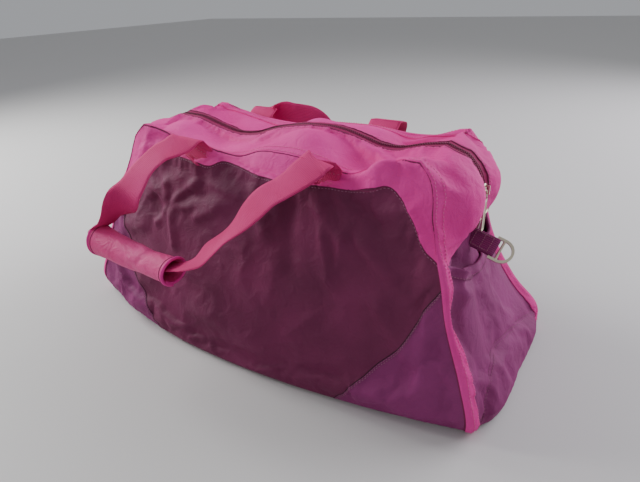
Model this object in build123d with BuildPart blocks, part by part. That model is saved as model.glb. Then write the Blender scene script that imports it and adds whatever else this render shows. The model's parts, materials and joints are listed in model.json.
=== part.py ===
from build123d import *
import os
from math import atan2, cos, degrees, radians, sin

os.makedirs("parts", exist_ok=True)

# Soft duffel bag. X runs along the bag, -Y is the front, Z is up, and the origin is
# on the floor under the middle of the base. All sizes are in millimetres.

# ---------------------------------------------------------------- driving dimensions
# Bag body
base_half_length = 254.0      # base, centre to end wall
waist_half_length = 200.5     # where the end wall meets the zipper gusset
waist_height = 155.0
run_half_length = 207.0       # top of the straight zipper run on the end
run_top = 197.0
shoulder_radius = 38.0        # gusset round the top corner
bag_height = run_top + shoulder_radius
base_half_width = 106.0       # front corner of the base
base_bow = 34.0               # the front and back bulge this far between the corners
top_half_width = 66.0
top_bow = 4.0
fabric = 1.8                  # shell fabric with its coating
seam_lap = 2.5                # front and back walls cover the edges of the band

# Panel seams on the front and back walls
yoke_seam_height = 205.0
yoke_shoulder_x = 118.0
corner_seam_base_x = 112.0

# Zipper opening
flap_half_length = 150.0
body_gap = 0.5                # clearance between pieces that move apart
flap_edge = 62.8              # outer edge of the opening flaps, from the middle
slot_half = 5.5               # zipper band left showing between the fabric edges
tape_half = 14.0
tape = 0.8
coil_inner = 0.9
coil_outer = 2.9
coil_height = 2.0
zipper_end_height = 156.0     # lower end of the coil

# Sliders and pulls
slider_radius = 5.7
plate_low = 0.7               # underside of the top plate above the fabric
plate_high = 2.2
lower_plate = 5.1             # inner face of the lower plate, under the fabric's face
lower_plate_length = 10.0
lower_plate_width = 8.0
lower_plate_thickness = 1.2
plate_round = 1.2
post_place = 3.0
post_length = 4.0
post_width = 0.8
sunk = 0.4                    # joined pieces run this far into each other
arch_span = 3.4               # arch leg, from the slider's middle
wire = 1.6
arch_height = 2.6
pull_length = 40.0
pull_width = 7.4
pull_neck = 5.4
pull_slot = 3.0
pull_slot_length = 8.0
pull_border = 1.1             # raised rim round the sunk face of the pull
pull_recess = 0.4
pivot_gap = 0.4               # play of a pull's bar under the arch
swing_gap = 0.5               # play of a pull's bar beside the arch's leg
upper_slider_height = run_top
lower_slider_height = 162.0

# Webbing, handles and grip
webbing = 38.0
webbing_thickness = 1.6
anchor_height = 46.0
strap_x = 78.0
crease_y = 77.0
crease_height = 229.0
grip_radius = 15.0
grip_flare = 17.0
grip_wall = 2.6
piping = 1.6
piping_length = 5.0
piping_play = 0.1
grip_left = (-153.0, -165.0, 130.0)
grip_right = (-37.0, -165.0, 124.0)

# D-ring and its tab
tab_root = (203.0, 0.0, 147.0)
tab_reach = 22.0
tab_width = 18.0
tab_thickness = 2.8
tab_fold = 1.5                # webbing folded round the ring's bar
tab_sunk = 6.0                # the tab's length let into the wall before it is trimmed
ring_wire = 1.3
ring_fit = 0.06
ring_half_width = 12.0
ring_depth = 19.0
ring_crossbar = 6.0
ring_straight = 7.0           # straight sides before the bow
tab_roll = 45.0
tab_droop = 17.0

# Slip pockets on the ends, base board and seam binding
pocket_low = 2.0
pocket_rim_height = 126.0
pocket_half_width = 74.0
pocket_gape = 15.0
pocket_foot = 5.0
hem_height = 12.0
hem = 1.0
board_half_length = 244.0
board_half_width = 97.0
board = 3.0
binding = 1.2
binding_half_width = 7.0
binding_top = 214.0

far = 400.0                   # reach of cuts that take in the whole bag
form_overrun = 5.0            # the lofted form runs this far past the base and the top
edge_overrun = 40.0           # and this far past the ends, before it is cut to its outline


# ---------------------------------------------------------------- shared shapes
def bag_outline(inset):
    """The bag seen from the front, with every edge moved in by inset."""
    with BuildSketch() as outline:
        with BuildLine():
            foot = Line((0, 0), (base_half_length, 0))
            wall = Line(foot @ 1, (waist_half_length, waist_height))
            run = Line(wall @ 1, (run_half_length, run_top))
            diagonal = shoulder_radius * cos(radians(45))
            middle = (run_half_length - shoulder_radius + diagonal, run_top + diagonal)
            shoulder_end = (run_half_length - shoulder_radius, bag_height)
            shoulder = ThreePointArc(run @ 1, middle, shoulder_end)
            Line(shoulder @ 1, (0, bag_height))
            mirror(about=Plane.YZ)
        make_face()
        if inset != 0:
            offset(amount=-inset)
    return outline.sketch


def bag_form(inset):
    """The closed form of the bag, with every wall moved in by inset."""
    reach = base_half_length + edge_overrun
    with BuildPart() as form:
        for height, half_width, half_length, bow in (
            (-form_overrun, base_half_width, base_half_length, base_bow),
            (bag_height + form_overrun, top_half_width, waist_half_length, top_bow),
        ):
            radius = (half_length**2 + bow**2) / (2 * bow)
            crown = half_width + bow - inset
            edge = crown - radius + (radius**2 - reach**2) ** 0.5
            with BuildSketch(Plane.XY.offset(height)):
                with BuildLine():
                    ThreePointArc((-reach, -edge), (0, -crown), (reach, -edge))
                    Line((reach, -edge), (reach, edge))
                    ThreePointArc((reach, edge), (0, crown), (-reach, edge))
                    Line((-reach, edge), (-reach, -edge))
                make_face()
        loft(ruled=True)
        with BuildSketch(Plane.XZ):
            add(bag_outline(inset))
        extrude(amount=far, both=True, mode=Mode.INTERSECT)
    return form.part


def seam_plane(side, lap):
    """Plane through the corner seams of the front (side -1) or back (+1) wall, lap inside them."""
    lean = (base_half_width - top_half_width) / bag_height
    return Plane(
        origin=(0, side * (base_half_width - lap), 0),
        x_dir=(1, 0, 0),
        z_dir=(0, side, lean),
    )


def yoke_region():
    """Part of the front and back walls above the arched yoke seam."""
    with BuildSketch() as region:
        with BuildLine():
            top = Line((0, far), (far, far))
            side = Line(top @ 1, (far, 0))
            slope = Line(side @ 1, (186, 172))
            shoulder = ThreePointArc(slope @ 1, (160, 206), (yoke_shoulder_x, yoke_seam_height))
            Line(shoulder @ 1, (0, yoke_seam_height))
            mirror(about=Plane.YZ)
        make_face()
    return region.sketch


def corner_region(side):
    """Corner panel of the front and back walls, at the left (side -1) or right (+1) end."""
    with BuildSketch() as region:
        with BuildLine():
            seam = ThreePointArc(
                (side * corner_seam_base_x, -form_overrun), (side * 183, 92), (side * 216, 157)
            )
            Polyline(seam @ 1, (side * far, 157), (side * far, -form_overrun), seam @ 0)
        make_face()
    return region.sketch


def save(part, label):
    """Names a finished piece and writes its file."""
    part.label = label
    export_step(part, f"parts/{label}.step")


def window(x_low, x_high, z_low, z_high):
    """Keeps what the current part has between these limits, seen from the front."""
    with BuildSketch(Plane.XZ) as region:
        with Locations((x_low, z_low)):
            Rectangle(x_high - x_low, z_high - z_low, align=(Align.MIN, Align.MIN))
    extrude(region.sketch, amount=far, both=True, mode=Mode.INTERSECT)


def beyond(side, distance):
    """Keeps what the current part has in front (side -1) or behind (+1), from a distance on."""
    with BuildSketch(Plane.XY) as region:
        with Locations((0, side * (distance + far / 2))):
            Rectangle(2 * far, far)
    extrude(region.sketch, amount=far, both=True, mode=Mode.INTERSECT)


def end_window(side, start, z_low, z_high):
    """Keeps what the current part has at one end (side -1 left, +1 right), from start outwards."""
    x_low = min(side * start, side * far)
    window(x_low, x_low + far - start, z_low, z_high)


bag_solid = bag_form(0)
bag_inside = bag_form(fabric)

with BuildPart() as shell:
    add(bag_solid)
    add(bag_inside, mode=Mode.SUBTRACT)

with BuildPart() as middle_band:
    add(shell.part)
    split(bisect_by=seam_plane(-1, seam_lap), keep=Keep.BOTTOM)
    split(bisect_by=seam_plane(1, seam_lap), keep=Keep.BOTTOM)

# ---------------------------------------------------------------- front and back walls
for wall_name, wall_side in (("front", -1), ("back", 1)):
    with BuildPart() as wall:
        add(shell.part)
        split(bisect_by=seam_plane(wall_side, seam_lap), keep=Keep.TOP)

    with BuildPart() as yoke:
        add(wall.part)
        with BuildSketch(Plane.XZ):
            add(yoke_region())
        extrude(amount=far, both=True, mode=Mode.INTERSECT)
    save(yoke.part, f"{wall_name}_yoke")

    with BuildPart() as panel:
        add(wall.part)
        with BuildSketch(Plane.XZ):
            add(yoke_region())
            add(corner_region(-1))
            add(corner_region(1))
        extrude(amount=far, both=True, mode=Mode.SUBTRACT)
    save(panel.part, f"{wall_name}_panel")

    for end_name, end_side in (("left", -1), ("right", 1)):
        with BuildPart() as corner:
            add(wall.part)
            with BuildSketch(Plane.XZ):
                add(corner_region(end_side))
                add(yoke_region(), mode=Mode.SUBTRACT)
            extrude(amount=far, both=True, mode=Mode.INTERSECT)
        save(corner.part, f"{wall_name}_corner_{end_name}")

# ---------------------------------------------------------------- base
with BuildPart() as base_panel:
    add(middle_band.part)
    window(-far, far, 0, fabric)
save(base_panel.part, "base_panel")

with BuildPart() as base_board:
    with BuildSketch(Plane.XY.offset(fabric)):
        RectangleRounded(2 * board_half_length, 2 * board_half_width, 20)
    extrude(amount=board)
save(base_board.part, "base_board")

# ---------------------------------------------------------------- ends, gusset and top flaps
gusset_start = flap_half_length + body_gap

for end_name, end_side in (("left", -1), ("right", 1)):
    with BuildPart() as end_panel:
        add(middle_band.part)
        end_window(end_side, flap_half_length, fabric, waist_height)
    save(end_panel.part, f"end_panel_{end_name}")

    for wall_name, wall_side in (("front", -1), ("back", 1)):
        with BuildPart() as gusset:
            add(middle_band.part)
            end_window(end_side, gusset_start, waist_height, far)
            beyond(wall_side, slot_half)
        save(gusset.part, f"gusset_{wall_name}_{end_name}")

for wall_name, wall_side in (("front", -1), ("back", 1)):
    inner = wall_side * slot_half
    outer = wall_side * flap_edge
    with BuildPart() as top_flap:
        with BuildSketch(Plane.XY.offset(bag_height - fabric)):
            with Locations((0, (inner + outer) / 2)):
                Rectangle(2 * flap_half_length, flap_edge - slot_half)
        extrude(amount=fabric)
    save(top_flap.part, f"top_flap_{wall_name}")


# ---------------------------------------------------------------- zipper
def zipper_strip(y_low, y_high, depth_low, depth_high, x_low, x_high):
    """Adds a strip that follows the outline of the bag, between two depths under its surface."""
    with BuildSketch(Plane.XZ.offset(-y_high)) as strip:
        add(bag_outline(depth_low))
        add(bag_outline(depth_high), mode=Mode.SUBTRACT)
        with Locations((x_low, zipper_end_height)):
            Rectangle(x_high - x_low, far, align=(Align.MIN, Align.MIN), mode=Mode.INTERSECT)
    extrude(strip.sketch, amount=y_high - y_low)


def zipper_piece(label, sides, outer, depth_low, depth_high, x_low, x_high):
    """A length of tape or coil, on one side of the zipper or on both."""
    with BuildPart() as piece:
        for side in sides:
            y_low = min(side * coil_inner, side * outer)
            y_high = max(side * coil_inner, side * outer)
            zipper_strip(y_low, y_high, depth_low, depth_high, x_low, x_high)
    save(piece.part, label)


tape_depth = fabric
coil_top_depth = tape_depth - coil_height
for wall_name, wall_side in (("front", -1), ("back", 1)):
    for kind, outer, depth_low, depth_high in (
        ("tape", tape_half, tape_depth, tape_depth + tape),
        ("coil", coil_outer, coil_top_depth, tape_depth),
    ):
        zipper_piece(
            f"zipper_{kind}_{wall_name}", [wall_side], outer, depth_low, depth_high,
            -flap_half_length, flap_half_length,
        )

for end_name, end_side in (("left", -1), ("right", 1)):
    x_low = min(end_side * gusset_start, end_side * far)
    for kind, outer, depth_low, depth_high in (
        ("tape", tape_half, tape_depth, tape_depth + tape),
        ("coil", coil_outer, coil_top_depth, tape_depth),
    ):
        zipper_piece(
            f"zipper_{kind}_{end_name}_end", [-1, 1], outer, depth_low, depth_high,
            x_low, x_low + far - gusset_start,
        )


def zipper_frame(height):
    """Frame on the straight zipper run: X up along the coil, Z out of the bag."""
    lean = atan2(run_half_length - waist_half_length, run_top - waist_height)
    part_way = (height - waist_height) / (run_top - waist_height)
    x_place = waist_half_length + part_way * (run_half_length - waist_half_length)
    return Plane(
        origin=(x_place, 0, height),
        x_dir=(sin(lean), 0, cos(lean)),
        z_dir=(cos(lean), 0, -sin(lean)),
    )


upper_frame = Plane(
    origin=(run_half_length, 0, upper_slider_height), x_dir=(0, 0, 1), z_dir=(1, 0, 0)
)
lower_frame = zipper_frame(lower_slider_height)


def make_slider(label, frame):
    """Zipper slider: round top plate with an arch, a post between the coils and a lower plate."""
    side = Plane(origin=frame.origin, x_dir=frame.x_dir, z_dir=frame.z_dir.cross(frame.x_dir) * -1)
    with BuildPart() as slider:
        with BuildSketch(frame.offset(plate_low)):
            Circle(slider_radius)
        extrude(amount=plate_high - plate_low)
        top_edge = slider.edges().filter_by(GeomType.CIRCLE).sort_by(Axis.X)[-1]
        fillet(top_edge, plate_round)
        with BuildSketch(frame.offset(-lower_plate)):
            with Locations((post_place, 0)):
                Rectangle(post_length, post_width)
        extrude(amount=lower_plate + plate_low + sunk)
        with BuildSketch(frame.offset(-lower_plate)):
            RectangleRounded(lower_plate_length, lower_plate_width, 2)
        extrude(amount=lower_plate_thickness)
        arch_middle = plate_high + (arch_height + wire - sunk) / 2
        with BuildSketch(side):
            with Locations((0, arch_middle)):
                Rectangle(2 * arch_span + wire, arch_height + wire + sunk)
            with Locations((0, arch_middle - wire / 2)):
                Rectangle(2 * arch_span - wire, arch_height + sunk, mode=Mode.SUBTRACT)
        extrude(amount=wire / 2, both=True)
    save(slider.part, label)


def make_pull(label, frame):
    """Pull tab: a bar with a slot at its top; the frame sits on the end bar, X along the tab."""
    blade = pull_length - pull_slot_length
    with BuildPart() as pull:
        with BuildSketch(frame.offset(-wire / 2)):
            with Locations((pull_slot_length / 2, 0)):
                RectangleRounded(pull_slot_length + wire, pull_neck, 0.7)
            with Locations((pull_slot_length, 0)):
                RectangleRounded(blade, pull_width, 1.4, align=(Align.MIN, Align.CENTER))
            with Locations((pull_slot_length / 2 + wire / 4, 0)):
                Rectangle(pull_slot_length - wire / 2, pull_slot, mode=Mode.SUBTRACT)
        extrude(amount=wire)
        with BuildSketch(frame.offset(wire / 2 - pull_recess)):
            with Locations((pull_slot_length + blade / 2 + pull_border, 0)):
                RectangleRounded(blade - 4 * pull_border, pull_width - 2 * pull_border, 0.8)
        extrude(amount=wire, mode=Mode.SUBTRACT)
    save(pull.part, label)


make_slider("slider_upper", upper_frame)
make_slider("slider_lower", lower_frame)

bar_height = plate_high + arch_height / 2
bar_reach = arch_span - wire - pivot_gap
upper_pivot = upper_frame.from_local_coords((-bar_reach, 0, bar_height))
make_pull("pull_upper", Plane(origin=upper_pivot, x_dir=(0, 0, -1), z_dir=(1, 0, 0)))

lower_pivot = lower_frame.from_local_coords((arch_span, wire + swing_gap, bar_height))
make_pull("pull_lower", Plane(origin=lower_pivot, x_dir=(0, 1, 0), z_dir=lower_frame.z_dir))

# ---------------------------------------------------------------- seam binding
with BuildPart() as binding_skin:
    add(bag_form(-binding))
    add(bag_solid, mode=Mode.SUBTRACT)
    window(-far, far, binding_half_width, binding_top)
    with BuildSketch(Plane.XZ):
        add(bag_outline(-form_overrun))
        add(bag_outline(binding_half_width), mode=Mode.SUBTRACT)
    extrude(amount=far, both=True, mode=Mode.INTERSECT)

for wall_name, wall_side in (("front", -1), ("back", 1)):
    for end_name, end_side in (("left", -1), ("right", 1)):
        with BuildPart() as strip:
            add(binding_skin.part)
            split(bisect_by=seam_plane(wall_side, binding_half_width), keep=Keep.TOP)
            end_window(end_side, 0, 0, far)
        save(strip.part, f"binding_{wall_name}_{end_name}")

# ---------------------------------------------------------------- slip pockets on the ends
def end_wall_x(height):
    """How far the end wall stands from the middle of the bag."""
    return base_half_length - height * (base_half_length - waist_half_length) / waist_height


foot_x = end_wall_x(pocket_low) + pocket_foot
rim_x = end_wall_x(pocket_rim_height) + pocket_gape
pocket_lean = (foot_x - rim_x) / (pocket_rim_height - pocket_low)
hem_low_x = rim_x + hem_height * pocket_lean
hem_low = pocket_rim_height - hem_height
pocket_floor = pocket_low + fabric
above_rim = pocket_rim_height + 1

with BuildPart() as pocket:
    with BuildSketch(Plane.XZ):
        Polygon(
            (end_wall_x(pocket_low), pocket_low), (foot_x, pocket_low),
            (rim_x, pocket_rim_height), (end_wall_x(pocket_rim_height), pocket_rim_height),
            align=None,
        )
    extrude(amount=pocket_half_width, both=True)
    with BuildSketch(Plane.XZ):
        Polygon(
            (end_wall_x(pocket_floor) - fabric, pocket_floor), (foot_x - 2 * fabric, pocket_floor),
            (rim_x - fabric, above_rim), (end_wall_x(above_rim) - fabric, above_rim),
            align=None,
        )
    extrude(amount=pocket_half_width - fabric, both=True, mode=Mode.SUBTRACT)
    add(bag_solid, mode=Mode.SUBTRACT)

with BuildPart() as pocket_hem:
    with BuildSketch(Plane.XZ):
        Polygon(
            (hem_low_x, hem_low), (hem_low_x + hem, hem_low),
            (rim_x + hem, pocket_rim_height), (rim_x, pocket_rim_height),
            align=None,
        )
    extrude(amount=pocket_half_width, both=True)

# ---------------------------------------------------------------- D-rings in webbing tabs
droop = radians(tab_droop)
roll = radians(tab_roll)
tab_out = Vector(cos(droop), 0, -sin(droop))
tab_bar = Vector(sin(droop) * sin(roll), cos(roll), cos(droop) * sin(roll))
tab_side = Plane(origin=tab_root, x_dir=tab_out, z_dir=tab_bar)
ring_face = Plane(origin=tab_root, x_dir=tab_out, z_dir=tab_out.cross(tab_bar))

with BuildPart() as dring_tab:
    with BuildSketch(tab_side):
        with Locations(((tab_reach - tab_sunk) / 2, 0)):
            Rectangle(tab_reach + tab_sunk, tab_thickness)
        with Locations((tab_reach, 0)):
            Circle(ring_wire + tab_fold)
            Circle(ring_wire + ring_fit, mode=Mode.SUBTRACT)
    extrude(amount=tab_width / 2, both=True)
    add(bag_solid, mode=Mode.SUBTRACT)

with BuildPart() as dring:
    with BuildSketch(tab_side.offset(-ring_half_width)):
        with Locations((tab_reach, 0)):
            Circle(ring_wire)
    extrude(amount=2 * ring_half_width)
    with BuildSketch(tab_side.offset(-ring_half_width)):
        with Locations((tab_reach + ring_crossbar, 0)):
            Circle(ring_wire)
    extrude(amount=2 * ring_half_width)
    with BuildSketch(ring_face.offset(-ring_wire)):
        with BuildLine():
            low = Line(
                (tab_reach - ring_wire, -ring_half_width), (tab_reach + ring_straight, -ring_half_width)
            )
            bow = ThreePointArc(
                low @ 1, (tab_reach + ring_depth, 0), (tab_reach + ring_straight, ring_half_width)
            )
            Polyline(bow @ 1, (tab_reach - ring_wire, ring_half_width), low @ 0)
        make_face()
        offset(amount=-2 * ring_wire, mode=Mode.SUBTRACT)
        with Locations((tab_reach, 0)):
            Rectangle(
                2 * ring_straight, 2 * (ring_half_width - 2 * ring_wire), mode=Mode.SUBTRACT
            )
    extrude(amount=2 * ring_wire)

for end_name, end_side in (("left", -1), ("right", 1)):
    for piece, label in (
        (pocket, "end_pocket"), (pocket_hem, "pocket_hem"),
        (dring_tab, "dring_tab"), (dring, "dring"),
    ):
        placed = piece.part if end_side > 0 else mirror(piece.part, about=Plane.YZ)
        save(placed, f"{label}_{end_name}")

# ---------------------------------------------------------------- handles
with BuildPart() as webbing_skin:
    add(bag_form(-webbing_thickness))
    add(bag_solid, mode=Mode.SUBTRACT)
    window(-far, far, crease_height - anchor_height, crease_height)
    with BuildSketch(Plane.XZ):
        for side in (-1, 1):
            with Locations((side * strap_x, crease_height)):
                Rectangle(webbing, 2 * anchor_height)
    extrude(amount=far, both=True, mode=Mode.INTERSECT)

for wall_name, wall_side in (("front", -1), ("back", 1)):
    with BuildPart() as anchors:
        add(webbing_skin.part)
        split(bisect_by=seam_plane(wall_side, 0), keep=Keep.TOP)
    save(anchors.part, f"handle_anchors_{wall_name}")


def strap_section(frame, width, thickness):
    """Rectangle of webbing across a frame."""
    with BuildSketch(frame) as section:
        Rectangle(width, thickness)
    return section.sketch


def make_strap(label, stations):
    """Flat strap through stations: place, width direction, width and thickness."""
    places = [Vector(place) for place, across, width, thickness in stations]
    last = len(places) - 1
    sections = []
    for number, (place, across, width, thickness) in enumerate(stations):
        along = places[min(number + 1, last)] - places[max(number - 1, 0)]
        if number in (0, last):
            along = Vector(0, along.Y, 0)
        along = along.normalized()
        level = Vector(across) - along * Vector(across).dot(along)
        frame = Plane(origin=place, x_dir=level.normalized(), z_dir=along)
        sections.append(strap_section(frame, width, thickness))
    with BuildPart() as strap:
        for start, end in zip(sections, sections[1:]):
            loft([start, end], ruled=True)
    save(strap.part, label)


thin = webbing_thickness
make_strap("front_handle_webbing", [
    ((strap_x, -crease_y, crease_height), (1, 0, 0), webbing, thin),
    ((67, -93, 219), (1, 0.3, 0), webbing, thin),
    ((54, -107, 207), (1, 0.1, -0.1), webbing, thin),
    ((41, -120, 193), (1, -0.1, -0.3), webbing, thin),
    ((29, -132, 180), (1, -0.3, -0.5), 37, thin),
    ((17, -143, 167), (0.8, -0.7, -0.4), 35, thin),
    ((4, -153, 154), (0.5, -1, -0.2), 31, thin),
    ((-12, -161, 141), (0.2, -1, 0), 26, 1.8),
    ((-30, -165, 129), (0, -1, 0), 22, 2.2),
    ((-60, -165, 125), (0, -1, 0), 20, 2.6),
    ((-130, -165, 129), (0, -1, 0), 20, 2.6),
    ((-152, -165, 130.5), (0, -1, 0), 20, 2.4),
    ((-161, -165, 134), (0, -1, 0), 21, 2),
    ((-163, -165, 141), (0, -1, 0.1), 23, 1.8),
    ((-157, -164, 149), (-0.2, -1, 0.1), 26, thin),
    ((-147, -162, 156), (-0.4, -1, 0.1), 29, thin),
    ((-136, -159, 163), (-0.7, -0.8, 0.1), 32, thin),
    ((-125, -154, 172), (-0.9, -0.6, 0), 35, thin),
    ((-114, -145, 186), (-1, -0.3, 0.2), 37, thin),
    ((-106, -131, 201), (-1, -0.1, 0.3), webbing, thin),
    ((-97, -113, 216), (-1, 0.1, 0.3), webbing, thin),
    ((-87, -94, 225.5), (-1, 0.3, 0.2), webbing, thin),
    ((-strap_x, -crease_y, crease_height), (-1, 0, 0), webbing, thin),
])

make_strap("back_handle_webbing", [
    ((-strap_x, crease_y, crease_height), (1, 0, 0), webbing, thin),
    ((-74, 95, 232), (1, 0, 0), webbing, thin),
    ((-65, 113, 224), (1, -0.2, 0.1), webbing, thin),
    ((-53, 127, 207), (0.9, -0.3, 0.3), webbing, thin),
    ((-38, 138, 190), (0.6, -0.4, 0.6), webbing, thin),
    ((-14, 145, 178), (0.2, -0.4, 1), webbing, thin),
    ((10, 146, 176), (-0.2, -0.4, 1), webbing, thin),
    ((34, 140, 184), (-0.6, -0.4, 0.6), webbing, thin),
    ((52, 129, 200), (-0.9, -0.3, 0.3), webbing, thin),
    ((65, 114, 216), (-1, -0.2, 0.1), webbing, thin),
    ((74, 96, 227), (-1, 0, 0), webbing, thin),
    ((strap_x, crease_y, crease_height), (-1, 0, 0), webbing, thin),
])

# ---------------------------------------------------------------- padded grip wrap
grip_length = (Vector(grip_right) - Vector(grip_left)).length
grip_start = Plane(origin=grip_left, z_dir=Vector(grip_right) - Vector(grip_left))
grip_end = grip_start.offset(grip_length)

with BuildPart() as grip_wrap:
    with BuildSketch(grip_start):
        Circle(grip_radius)
    with BuildSketch(grip_end):
        Circle(grip_flare)
    loft()
    with BuildSketch(grip_start):
        Circle(grip_radius - grip_wall)
    with BuildSketch(grip_end):
        Circle(grip_flare - grip_wall)
    loft(mode=Mode.SUBTRACT)
save(grip_wrap.part, "grip_wrap")

for end_name, frame, radius in (
    ("left", grip_start, grip_radius + piping_play),
    ("right", grip_end.offset(-piping_length), grip_flare),
):
    with BuildPart() as grip_piping:
        with BuildSketch(frame):
            Circle(radius + piping)
            Circle(radius, mode=Mode.SUBTRACT)
        extrude(amount=piping_length)
    save(grip_piping.part, f"grip_piping_{end_name}")
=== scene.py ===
import json
import math
import random

import bmesh
import bpy
import numpy as np
from mathutils import Matrix, Vector, noise
from mathutils.bvhtree import BVHTree
from mathutils.geometry import barycentric_transform


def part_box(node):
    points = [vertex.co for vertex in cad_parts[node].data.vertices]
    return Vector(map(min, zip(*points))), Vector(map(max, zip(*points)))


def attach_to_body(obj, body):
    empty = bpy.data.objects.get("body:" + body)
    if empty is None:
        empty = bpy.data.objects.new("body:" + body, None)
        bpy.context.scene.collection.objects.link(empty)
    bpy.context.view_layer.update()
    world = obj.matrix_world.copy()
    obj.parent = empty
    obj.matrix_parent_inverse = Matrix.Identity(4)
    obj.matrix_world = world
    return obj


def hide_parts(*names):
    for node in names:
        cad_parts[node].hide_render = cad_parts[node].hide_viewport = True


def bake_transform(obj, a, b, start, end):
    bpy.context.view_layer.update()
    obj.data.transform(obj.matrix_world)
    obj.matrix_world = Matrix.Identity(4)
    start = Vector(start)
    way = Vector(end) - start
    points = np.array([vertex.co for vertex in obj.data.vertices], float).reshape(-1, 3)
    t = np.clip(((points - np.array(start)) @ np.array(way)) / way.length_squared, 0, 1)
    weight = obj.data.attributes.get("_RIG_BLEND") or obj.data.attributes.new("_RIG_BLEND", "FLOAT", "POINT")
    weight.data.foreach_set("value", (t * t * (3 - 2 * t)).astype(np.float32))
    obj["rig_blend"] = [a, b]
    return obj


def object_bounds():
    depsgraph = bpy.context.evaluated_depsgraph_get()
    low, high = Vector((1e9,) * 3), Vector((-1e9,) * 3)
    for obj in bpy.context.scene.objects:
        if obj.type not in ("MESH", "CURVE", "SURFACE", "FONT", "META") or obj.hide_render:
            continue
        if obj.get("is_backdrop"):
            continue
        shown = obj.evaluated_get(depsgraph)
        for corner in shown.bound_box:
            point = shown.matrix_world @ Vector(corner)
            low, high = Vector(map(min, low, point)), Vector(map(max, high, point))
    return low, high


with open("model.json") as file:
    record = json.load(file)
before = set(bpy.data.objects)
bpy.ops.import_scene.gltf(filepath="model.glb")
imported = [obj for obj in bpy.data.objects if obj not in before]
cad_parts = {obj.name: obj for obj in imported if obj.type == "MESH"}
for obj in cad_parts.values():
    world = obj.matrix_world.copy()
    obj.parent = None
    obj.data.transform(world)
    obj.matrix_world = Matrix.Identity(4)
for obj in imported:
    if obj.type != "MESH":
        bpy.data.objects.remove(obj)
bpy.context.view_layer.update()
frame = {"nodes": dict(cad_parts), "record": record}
random.seed(7)

MM = 0.001
cloth_thickness = 1.6 * MM
flap_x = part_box("top_flap_front")[1].x          # the opening flaps end here
blend_x = flap_x + 34 * MM                      # and the fixed gusset starts here
waist_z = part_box("end_panel_right")[1].z        # the end panels end here, and the gusset starts
top_z = 0.236                                   # height of the seams at the shoulders
shoulder_x = 0.171                              # and their distance from the middle
hinge_y = 0.066                                 # the gusset's outer seam, where each flap turns
above_z = 0.2                                   # cloth above this belongs to the bag's top
tape_half = 7.8 * MM                            # zipper tape left showing on each side
strip = 9.2 * MM                                # topstitched strip beside the outer seam


# ------------------------------------------------------------------ curves and surface formulas
def through(*points):
    """Smooth function of one variable through (place, value) points."""
    xs = np.array([p[0] for p in points], float)
    ys = np.array([p[1] for p in points], float)
    slopes = np.gradient(ys, xs)

    def value(x):
        x = np.clip(np.asarray(x, float), xs[0], xs[-1])
        i = np.clip(np.searchsorted(xs, x) - 1, 0, len(xs) - 2)
        h = xs[i + 1] - xs[i]
        t = (x - xs[i]) / h
        return (
            (2 * t**3 - 3 * t**2 + 1) * ys[i] + (t**3 - 2 * t**2 + t) * h * slopes[i]
            + (3 * t**2 - 2 * t**3) * ys[i + 1] + (t**3 - t**2) * h * slopes[i + 1]
        )

    return value


def bump(x, centre, width):
    """Bell curve of height 1."""
    return np.exp(-(((x - centre) / width) ** 2))


binding_x = through(
    (0, .247), (.02, .249), (.059, .238), (.111, .219), (.1565, .2065), (.179, .195),
    (.193, .190), (.212, .1865), (.224, .182), (.236, .171),
)
binding_y = through(
    (0, .099), (.02, .106), (.059, .103), (.111, .097), (.1565, .0895), (.179, .082),
    (.193, .078), (.212, .072), (.236, .066),
)
front_seam_z = through(
    (-.171, .232), (-.15, .2305), (-.125, .2265), (-.09, .225), (-.048, .2185), (-.03, .2185),
    (.005, .228), (.03, .229), (.07, .225), (.108, .2185), (.128, .223), (.147, .234), (.171, .236),
)
back_seam_z = through(
    (-.171, .232), (-.139, .2315), (-.102, .2255), (-.042, .222), (.016, .227), (.062, .229),
    (.120, .226), (.171, .232),
)
zip_top_z = through(
    (-.171, .2325), (-.138, .231), (-.114, .225), (-.083, .219), (-.052, .222), (-.03, .229),
    (0, .235), (.03, .2375), (.062, .2365), (.085, .231), (.102, .2268), (.1245, .2262),
    (.150, .232), (.171, .2352),
)
end_x = through(
    (0, .2635), (.04, .2485), (.1, .2195), (.14, .2040), (.155, .2005), (.176, .2038), (.197, .207),
    (.212, .2035), (.224, .1955), (.231, .187), (.236, .171),
)
wall_y = through((0, .143), (.2, .138), (.42, .125), (.65, .106), (.87, .084), (1, .066))
yoke_seam = through(
    (-.215, .150), (-.198, .163), (-.186, .172), (-.1765, .188), (-.162, .203), (-.148, .210),
    (-.134, .2105), (-.110, .207), (-.081, .204), (-.062, .2015), (-.048, .2070), (-.028, .207),
    (.016, .204), (.094, .204), (.110, .2045), (.134, .212), (.148, .215), (.162, .206),
    (.1765, .188), (.186, .172), (.198, .163), (.215, .150),
)
corner_seam = through(
    (.112, -.006), (.125, .012), (.158, .057), (.182, .088), (.194, .116), (.206, .137),
    (.216, .158),
)
back_lean = through(
    (0, .015), (.1, .009), (.21, -.007), (.32, -.016), (.47, -.020), (.62, -.021), (.8, -.011),
    (1, 0),
)
left_stretch = 0.021                            # the left end's foot stands further out


def top_seam(side):
    """Height along x of the seam on top of the front (side -1) or back (+1) wall."""
    return front_seam_z if side < 0 else back_seam_z


def side_x(x_of_z, z, side):
    """Place of an end's outline at a height: the left end is a little longer at its foot."""
    x = x_of_z(z)
    return x if side > 0 else -(x + left_stretch * (1 - z / top_z))


def foot_round(z, radius=0.009):
    """How far the wall curves in just above the floor."""
    h = np.clip(1 - np.asarray(z, float) / radius, 0, 1)
    return radius * (1 - np.sqrt(1 - h * h))


def back_foot(side, h):
    """The right end's back corner leans in, and its foot stands out."""
    return back_lean(h) if side > 0 else 0.0


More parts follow.
